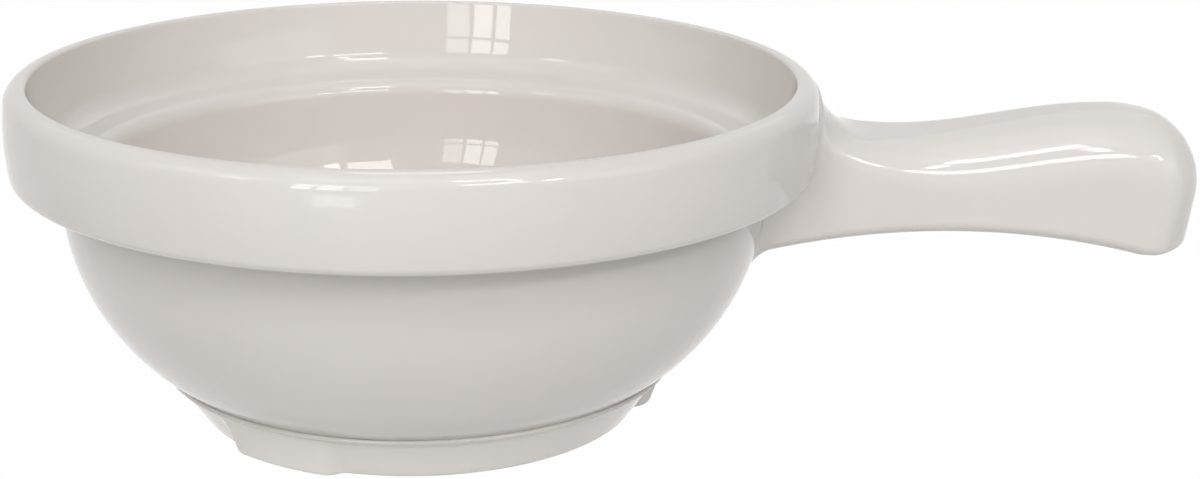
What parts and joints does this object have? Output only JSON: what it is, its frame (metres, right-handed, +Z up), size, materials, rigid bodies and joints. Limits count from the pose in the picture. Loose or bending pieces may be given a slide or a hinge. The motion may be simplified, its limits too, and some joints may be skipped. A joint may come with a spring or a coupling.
{
  "type": "handled soup bowl",
  "caption": "Glazed ceramic soup bowl with an upright collar, a rounded belly, a tapered foot ring with small lugs and one long solid handle.",
  "frame": {"origin": "on the bowl's axis, in the plane that the foot stands on", "axes": "+Z up along the bowl's axis, +X along the handle away from the bowl"},
  "size_m": [0.1836, 0.122, 0.052],
  "materials": {
    "glaze": "glossy bone-white glaze over stoneware",
    "slip": "fired luting slip"
  },
  "bodies": {
    "root": {"bowl_body": "glaze", "foot_ring": "glaze", "handle": "glaze", "handle_slip_joint": "slip", "foot_slip_joint": "slip"}
  },
  "joints": []
}
